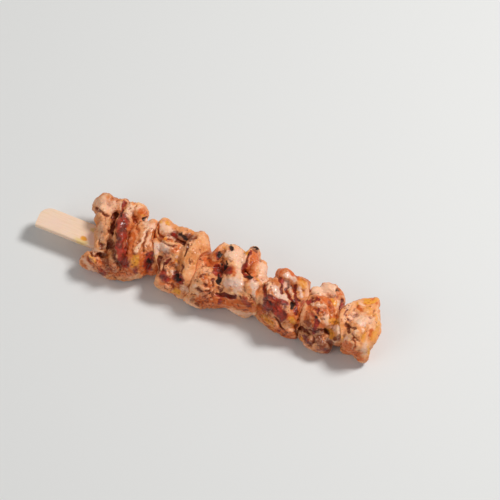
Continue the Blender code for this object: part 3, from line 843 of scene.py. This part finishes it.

# ================================================================ the fourth piece
# Loosely folded skin and muscle.  The brush left a pool of dark red glaze in the hollow at its
# handle end; the wet folds over the pool shine, with painted white sheen on them, and the rest is roasted
# orange.

chicken(
    4,
    folds=[
        (31.1, 12.2, 14, 4.4, 4.4, 6.4, -8),
        (28.5, 14.6, 13.6, 2.7, 2.7, 4, -30),
        (37.7, 10.7, 13.5, 5, 4.8, 6.8, 8),
        (29.7, 3.2, 13, 5.8, 8.2, 9.5, 6),
        (36.8, 0.1, 12, 7.4, 8, 9, 0),
        (33.4, -3.7, 7, 7.4, 3.8, 6.2, -14),
        (40.5, -4.6, 7, 5.8, 4.2, 6, 0),
        (42.9, 4, 11.5, 5, 7, 8, 0),
        (35, 6, 8.2, 8, 7.5, 8, 0),             # the unseen side
    ],
    relief=[
        (-0.9, 0.5, [(24.6, 13), (26.6, 10.8), (27, 9.4), (28.2, 8)]),
        (0.5, 1.2, [(25, 8.4), (25.4, 6.6)]), (-0.5, 0.5, [(22.9, 9.4), (23, 7.2), (22.6, 5.6)]),
        (-1, 0.6, [(29.3, 9.4), (31, 7.5), (33, 5.8), (34.2, 4.6)]),
        (-0.8, 0.5, [(32.2, 12.5), (32.8, 10), (34.5, 7.6), (35.8, 7)]),
        (0.6, 0.5, [(30.4, 10.4), (33, 7.7)]), (0.5, 0.8, [(28.2, 13.2), (30.4, 14.6)]),
        (0.5, 0.7, [(34.2, 12), (35.6, 9.6)]),
        (-0.8, 0.8, [(20.2, 7.4), (21.2, 5), (23.2, 2.6), (26, 1)]),
        (-0.6, 0.6, [(24, 2), (27.5, 0.9), (28.6, 0)]), (-0.4, 2.2, [(27.6, 1.6), (30.2, -0.6)]),
        (0.5, 0.8, [(26.4, 4.6), (30.4, 5)]), (0.4, 1.6, [(36.4, 2.6), (37.6, -0.4)]),
        (-0.8, 0.6, [(28.8, -3.2), (31.5, -4.2), (33.4, -5.8), (34.4, -6.6)]),
        (-0.5, 0.5, [(33.6, -2.6), (35.6, -3.4)]), (0.5, 1.2, [(35, -5.2), (38, -4.6)]),
        (-0.9, 0.6, [(38.7, -3.2), (39.3, -6), (41.2, -7.8)]), (-0.4, 0.5, [(35.2, -6.9), (38, -6.6)]),
        (-0.5, 0.4, [(39.4, 2.8), (38.2, -0.4)]), (0.4, 0.7, [(31, -6), (29.4, -5)]),
    ],
    orange=[
        (1, 1.1, [(24.3, 16.8), (25.3, 13.8)]), (0.95, 0.9, [(26.4, 17.4), (31, 16.2), (33.4, 15)]),
        (1, 2.7, [(36.4, 4), (37, 0), (40, 1.4)]), (0.9, 2.2, [(34.6, -0.6), (38.4, -2)]),
        (0.9, 2.2, [(22.6, -2), (27, -4.6), (30.4, -6.6)]),
        (0.9, 2.2, [(32, -6.4), (36, -7.4), (40, -8)]),
    ],
    amber=[
        (0.6, 1.6, [(33.8, 14.4), (35.6, 14)]), (0.5, 0.6, [(35.6, 11.4), (36.4, 10)]),
        (0.7, 1.3, [(35.4, -0.8), (37, -1.6)]), (0.6, 1.3, [(25, -3.8), (28, -5.2)]),
        (0.7, 0.9, (29.6, -6.2)),
    ],
    # brown, mostly laid along the creases as painted shade
    brown=[
        (0.9, 0.5, [(39.4, 2.6), (38.6, 0.4)]), (0.8, 0.5, (40.8, -2)),
        (0.5, 1.4, [(22.4, -0.6), (26, -2.6)]), (1, 0.7, [(28.8, -3), (31.5, -4.2), (34, -6.3)]),
        (0.8, 0.6, [(36, -6.8), (34.8, -8.2)]), (1, 0.8, [(39.4, -5), (40.6, -7.2)]),
    ],
    red=[
        (0.9, 0.9, [(25.6, 12.8), (26.8, 11.4)]),
        (1, 0.5, [(24.8, 12.6), (26.8, 10.6), (27.2, 9.2), (28.2, 8)]),
        (1, 0.6, [(29.4, 9.6), (31.2, 7.6), (33.6, 5.8)]),
        (1, 0.6, [(32.2, 12.2), (32.9, 9.8), (34.6, 7.4), (36, 7.2)]),
        (1, 0.9, [(20.4, 7.8), (21.4, 5.2), (23, 2.6)]), (1, 1, [(23.6, 4.2), (27, 4.2), (31.4, 3.6)]),
        (1, 2.6, [(25, 0.8), (29, 0.8), (31, -0.8)]),
        (0.95, 0.9, [(34.8, 6.6), (35.4, 4.2), (36.4, 2)]), (1, 0.8, [(38.6, 7), (40.4, 8)]),
        (0.5, 1.8, [(37.4, 6.4), (39.4, 5.4)]), (0.5, 1.2, (27.6, -7.6)),
        (0.4, 1, [(31, -3), (33.4, -3.2)]), (0.8, 0.8, (32.3, -7.3)),
    ],
    char=[
        (0.5, 1.2, [(31.2, 2), (32, 0)]), (1, 0.9, [(33.2, 4.8), (34, 4.2)]),
        (0.8, 0.8, [(24.4, 2), (26, 1.2)]), (0.7, 0.4, (22.8, 8.2)),
    ],
    pale=[
        (0.8, 1, [(22.4, 8.8), (22, 7.4)]), (0.5, 1.5, [(37, 13.4), (37.6, 11)]),
        (0.6, 0.5, [(30.6, 3), (32, 3.2)]), (0.5, 1, [(35.2, -5), (37.6, -4.8)]),
        (0.5, 0.6, [(32, -9.3), (38, -9)]),
    ],
    # painted highlight: white sheen patches on the wet folds
    milky=[
        (0.9, 1.3, [(27.8, 14.6), (30.6, 14.2)]), (0.8, 1.5, [(28.4, 12), (29.2, 9.8)]),
        (1, 1.8, [(24.6, 8), (27, 6.8), (29.8, 6.2)]), (0.9, 0.9, [(34, 11.8), (35.8, 9.4)]),
        (0.7, 0.7, [(30.4, 10.8), (32.6, 8.2)]),
    ],
    crumbly=[
        (0.7, 2.2, [(24, -3), (30, -5.6)]), (0.8, 1.6, [(22, 9), (24, 6)]),
        (0.6, 2, [(34, 3), (40, 4)]), (0.6, 1.6, [(31, -6), (38, -7)]),
    ],
    grain=-32,
    browning=0.7,
    seed=400,
)

# ================================================================ the fifth piece
# A pale fold with a small hole burnt at the far edge lies over crumbly roasted meat.  A lump of
# fat bulges beside the last piece, and a thin brown tail hangs to the table.

chicken(
    5,
    folds=[
        (50.6, 13.8, 14, 5, 4.4, 6.5, 26),
        (46, 9.6, 12.6, 4.2, 3.8, 6.6, 30),
        (49, 6.5, 13, 5.6, 4.8, 7.4, 0),
        (54, 10.3, 12.5, 3.6, 6.6, 7, 8),
        (51, 2.8, 12, 6.2, 8.4, 9, 0),
        (58.3, -0.9, 9.5, 3.4, 3.3, 4.2, 0),    # small round lump beside the last piece
        (53.9, -5.8, 6, 6.2, 3.9, 5.4, -6),     # thin tail that hangs to the table
        (48.1, -3.4, 6.5, 4, 3.6, 5.2, 0),
        (51, 6.5, 8.2, 6, 7, 8, 0),             # the unseen side
    ],
    relief=[
        (-0.7, 0.6, [(39, 10.8), (43, 12.2), (46.4, 13), (48.4, 14.6)]),
        (-2.4, 0.8, [(48.9, 17.3), (49, 16.7)]), (0.5, 0.5, [(48.4, 18.5), (50.2, 18.8), (51, 17.4)]),
        (-0.9, 0.5, [(51.9, 13.8), (52.7, 11.6), (52.8, 10)]),
        (-0.6, 0.6, [(53.4, 9), (53.6, 6), (53, 4.4)]),
        (-0.8, 0.6, [(50.4, 0.4), (51.2, -2), (52, -3.6)]), (-0.6, 0.6, [(56.4, 0.4), (56.2, -2.4)]),
        (-1, 0.7, [(39.4, -3.4), (42, -3.1), (45, -3.2), (47.5, -1.8), (49.4, -0.2), (50.8, -1)]),
        (0.5, 1.4, [(43.4, -5.4), (44.8, -6.2)]), (-0.7, 0.6, [(46.4, -4.5), (47.2, -6.5), (46.2, -8)]),
        (-0.7, 0.7, (43.8, 3.2)), (-0.4, 0.5, [(43, 6.6), (45.6, 5.8), (47, 4.4)]),
        (0.4, 0.7, (45.6, 8)), (0.4, 0.7, (43, 8.2)), (0.4, 0.7, (46.8, 4.2)), (0.4, 0.6, (45.4, 3.2)),
        (0.3, 0.8, (42.6, 5.2)), (-0.5, 0.5, [(47.6, 9.6), (49.4, 7), (50.4, 5)]),
        (0.3, 0.8, (50.4, 12.2)), (-0.4, 0.5, [(47.6, 4), (48.4, 1.6)]),
    ],
    orange=[
        (0.35, 1, (42.6, 16.4)), (1, 1.6, [(42.6, 10.6), (46.6, 11.2), (49.4, 8.6)]),
        (0.95, 1, [(50, 15.6), (51, 16.8)]), (0.8, 2.4, [(41.4, 4), (43, 0), (47.4, 0.6)]),
        (0.8, 1.8, [(41, 6), (44, 6), (48, 7.4)]), (0.9, 1.1, [(51, 6.2), (52.4, 6.6)]),
        (0.6, 1.2, [(54, -6.4), (53.6, -8.4)]),
    ],
    amber=[
        (0.8, 0.8, [(48, 12.6), (49.6, 11.2)]), (0.6, 1.2, [(50, 4), (52.4, 4.4)]),
        (0.8, 1.4, [(51.8, 0), (53, -1.6)]), (0.8, 0.8, (42.2, -6.6)),
    ],
    # brown, mostly laid along the creases as painted shade
    brown=[
        (0.6, 0.9, [(50.4, 18), (49.2, 18.8)]), (0.5, 1.1, [(49, 9.4), (50.4, 7)]),
        (0.6, 0.5, [(44.4, 6.8), (46.6, 5.6)]), (0.7, 1.5, [(42, 0.4), (43.4, -1.6)]),
        (1, 1, [(55.8, -0.4), (54.6, -2)]), (1, 2.8, [(48.6, -4.6), (51, -6), (53.4, -6)]),
        (1, 0.9, [(39.4, -3.6), (42, -3.1), (45, -3.3), (49.4, -0.4), (50.6, -1.2)]),
        (0.9, 1, [(46.6, -5.4), (46.4, -7.6)]),
    ],
    red=[
        (0.6, 0.8, (49.6, 13.9)), (0.5, 0.8, (47.2, 10.6)),
        (1, 0.6, [(51.9, 13.8), (52.8, 11.4), (52.7, 9.8)]),
        (0.9, 0.6, [(39.8, 8.2), (41.4, 9.6), (42.4, 10.6)]), (1, 1, (39.2, 7.4)),
        (0.85, 0.5, [(43.8, 7), (44.2, 5)]), (0.6, 1.3, [(42.6, 3.6), (44.4, 2.4)]),
        (1, 1, [(45.2, 2.2), (45.8, 0.2), (45.6, -3)]), (0.5, 1.6, [(49.6, -8.8), (53.6, -8.4)]),
        (0.7, 1.2, [(43.6, -5.6), (45.2, -6.6)]),
    ],
    char=[
        (1, 0.7, [(48.9, 17.3), (49, 16.7)]), (1, 0.85, (43.8, 3.2)),
        (0.2, 1.6, [(49.6, -5), (52.4, -5.4)]),
    ],
    pale=[
        (1, 2.5, [(41.4, 13.4), (44.6, 15.6), (46.6, 16.4)]), (0.8, 0.8, [(50.6, 12.4), (51.2, 10.6)]),
        (0.9, 0.6, [(40.8, 8.6), (41.6, 7.4)]), (0.9, 1.1, [(43.2, 8.4), (46.2, 7.8)]),
        (0.8, 1.4, [(48, 5.6), (49, 2.6)]), (0.9, 1.6, [(52.8, 2), (54.8, 1.6)]),
        (0.8, 0.6, [(51.8, -3.2), (53.6, -3.9), (55, -3.2)]),
        (0.6, 0.5, [(43, -8.3), (47, -9.6), (52, -10.2)]),
    ],
    # painted highlight: white sheen patches on the wet folds
    milky=[
        (0.9, 0.7, (45.6, 3)), (0.8, 0.5, (46.9, 4.2)), (0.3, 0.6, [(47, -2.6), (49.6, -1.6)]),
        (0.6, 0.6, (43.6, -5.4)),
    ],
    crumbly=[
        (0.7, 2.4, [(43, 8), (46, 5), (44, 2)]), (0.7, 2, [(42, -6), (47, -5)]),
    ],
    grain=-20,
    browning=0.62,
    seed=500,
)

# ================================================================ the last piece
# A thin slice wrapped over the stick's point, so its outline runs up to a sharp corner.  It sat at
# the edge of the fire and is only lightly browned.

chicken(
    6,
    folds=[
        (61.6, 6.7, 11.5, 4.2, 5.4, 7, 0),
        (65.3, 11.9, 12, 6.6, 3.8, 6, 32),      # corner flap
        (68.2, 16.5, 12, 2.4, 3.4, 3.2, -10),   # its pointed end
        (66.2, 15.2, 12.6, 5.8, 2.6, 2.8, 31),
        (70.4, 13.8, 12.2, 5.4, 2, 3, -60),
        (68.2, 1.5, 11, 6.6, 8, 9.5, 0),
        (66.4, 8.6, 12.4, 5.4, 4.8, 7.2, 10),
        (65.1, -1.9, 8, 4.4, 4, 6.4, 0),
        (71.3, -1.9, 8, 4.6, 4.4, 6.6, 8),
        (72.3, 5.4, 10.5, 3.8, 7.4, 8, 14),
        (67, 5, 7.8, 6.5, 6.4, 8, 0),           # the unseen side
    ],
    relief=[
        (-0.5, 0.6, [(58, 13.6), (59.5, 12.2), (61.4, 11.8)]),
        (0.5, 0.8, [(65.4, 18), (66.4, 13), (67.8, 9)]), (-0.4, 0.5, [(65.4, 14), (66.2, 11)]),
        (-1, 0.7, [(56.5, 5.2), (57.4, 4.6), (58, 2.6)]), (-0.5, 0.5, [(57.5, 4.7), (60.2, 4.6)]),
        (-0.28, 0.35, [(59.8, 2.8), (61.4, 1.4), (62.6, 0.9), (64, 0.9)]),
        (-0.28, 0.35, [(61.2, 1.2), (62.6, -0.8), (63, -3.2)]), (-0.3, 0.3, [(61.4, 0.6), (60, -1)]),
        (0.4, 0.9, (63.4, 5)), (0.4, 0.9, (60.6, 3.6)), (0.4, 0.9, (62.4, 2.6)),
        (-0.4, 0.6, [(65, 6), (64.6, 1), (65.4, -3)]), (0.4, 1.1, [(66.8, 0), (67, -3.6)]),
        (-0.5, 0.5, [(54.4, 10.8), (55.2, 9.6)]), (-0.5, 0.5, [(56, 8.2), (57.2, 7.6)]),
        (-0.4, 0.7, [(63.6, -5.4), (63.8, -7)]), (-0.4, 0.5, [(57.4, 0.8), (57.8, -2)]),
    ],
    orange=[
        (0.8, 0.7, [(64.8, 18), (65.2, 17)]), (0.8, 0.7, (61, 16.2)),
        (0.9, 1, [(58.8, 13.2), (60.2, 12.4)]), (1, 1.1, [(66.8, 6.4), (67.4, 4.4)]),
        (0.9, 0.8, [(61.2, 1.2), (62.8, -1), (63, -3.4)]),
        (1, 2.4, [(59.6, -3), (62.6, -5.2), (65.6, -5.6)]),
        (0.6, 0.8, [(61, 17), (64.8, 19.2), (67, 15)]), (0.7, 0.9, [(65.4, -6.4), (67.6, -5.8)]),
        (0.5, 1, (59.6, -5.4)),
    ],
    amber=[
        (0.9, 0.9, [(60.6, 16.8), (63.6, 17.4), (65.2, 19)]), (0.8, 0.7, (57.8, 14.4)),
        (0.45, 2, [(62.4, 14), (64.6, 13)]), (0.8, 0.5, [(66.4, 13), (67, 10.6)]),
        (0.6, 0.9, [(68.4, 8.4), (69.4, 5.6)]), (0.6, 0.6, [(57.2, -0.4), (56.8, -1.6)]),
        (0.6, 0.8, [(64.8, 4.6), (64.8, 1.6)]), (0.8, 1.3, [(68.4, -0.8), (69.4, -2)]),
        (0.6, 1.2, [(68.6, 3.4), (68.8, 10.6)]),
    ],
    # brown, mostly laid along the creases as painted shade
    brown=[
        (1, 0.8, [(56.8, 5.2), (57.6, 4.4), (58, 2.6)]), (0.8, 0.5, [(58.6, 4.8), (60.2, 4.6)]),
        (0.7, 0.45, [(59.8, 2.6), (61.4, 1.4), (62.6, 0.9), (64, 0.9)]),
        (0.7, 0.35, [(61.8, 0.2), (62.9, -1.6), (62.7, -3.4)]), (0.8, 0.45, (55, 10.9)),
        (0.8, 0.45, (56.8, 7.8)), (0.6, 0.4, (58.8, 7.5)),
    ],
    pale=[
        (0.8, 0.6, [(59.4, 15.2), (60.6, 15)]), (0.8, 2.1, [(58.4, 9), (61, 8.4), (64.4, 10.6)]),
        (0.9, 0.8, (63.5, 5)), (0.8, 0.8, (60.8, 3.6)), (0.8, 0.8, [(58.6, 0.4), (58.6, -2.4)]),
        (0.7, 1.2, [(66.4, 0.6), (67, -3.4)]), (0.7, 0.9, [(54.6, 12.4), (55.6, 6.6)]),
    ],
    # painted highlight: white sheen patch on the wet fold
    milky=[
        (0.7, 1.2, [(61.4, 7), (63.6, 7.6)]),
    ],
    crumbly=[
        (0.9, 2, [(55, 11), (56, 7)]), (0.4, 1.6, [(60, -4), (64, -5)]),
    ],
    grain=70,
    browning=0.26,
    seed=600,
)

# ================================================================ the table
# A plain pale matt tabletop, wide enough to fill the view from every side.

TABLE_HALF = 2.0
table_points = [(x * TABLE_HALF, y * TABLE_HALF, 0.0) for x, y in ((-1, -1), (1, -1), (1, 1), (-1, 1))]
table = new_object("table", table_points, [(0, 1, 2, 3)])
recipe = Recipe("table")
recipe.finish(Base_Color=tint(228, 228, 226), Roughness=0.9)
table.data.materials.append(recipe.material)

# ================================================================ the studio light
# Even light from all round, a soft square key lamp above and behind on the right, and a wide weak
# fill lamp in front on the left.

AMBIENT = 0.28
world = bpy.data.worlds.new("studio")
bpy.context.scene.world = world
world.use_nodes = True
world.node_tree.nodes["Background"].inputs["Color"].default_value = (1.0, 1.0, 1.0, 1.0)
world.node_tree.nodes["Background"].inputs["Strength"].default_value = AMBIENT


def lamp(name, place, size, power):
    """A soft square lamp that looks at the skewer."""
    light = bpy.data.lights.new(name, "AREA")
    light.size = size
    light.energy = power
    made = bpy.data.objects.new(name, light)
    made.location = place
    made.rotation_euler = (-made.location).to_track_quat("-Z", "Y").to_euler()
    bpy.context.scene.collection.objects.link(made)


lamp("key", (0.40, 0.36, 0.80), 0.24, 6.7)
lamp("fill", (-0.45, -0.7, 0.6), 0.6, 1.6)

# ================================================================ the camera
# A long lens looks steeply down from the front and a little from the right.

VIEW_WIDTH = 201.5                   # how much fits across the view at the skewer
LENS = 300.0
SENSOR = 36.0
AZIMUTH, ELEVATION = 24.3, 60.0
AIM_FROM = (0.0, -3.0, 9.0)          # a place in the meat
AIM_RIGHT, AIM_UP = 17.4499, 11.6064  # how far beside it the camera aims

camera_data = bpy.data.cameras.new("camera")
camera_data.lens = LENS
camera_data.sensor_width = SENSOR
camera_data.clip_end = 10.0
camera = bpy.data.objects.new("camera", camera_data)
bpy.context.scene.collection.objects.link(camera)
bpy.context.scene.camera = camera
round_by, tilt = math.radians(AZIMUTH), math.radians(ELEVATION)
back = np.array([
    math.sin(round_by) * math.cos(tilt),
    -math.cos(round_by) * math.cos(tilt),
    math.sin(tilt),
])
right = np.array([math.cos(round_by), math.sin(round_by), 0.0])
up = np.cross(back, right)
aim = (np.array(AIM_FROM) + right * AIM_RIGHT + up * AIM_UP) * MM
camera.location = aim + back * (VIEW_WIDTH * MM * LENS / SENSOR)
camera.rotation_euler = Vector(-back).to_track_quat("-Z", "Y").to_euler()

bpy.context.scene.view_settings.view_transform = "Standard"
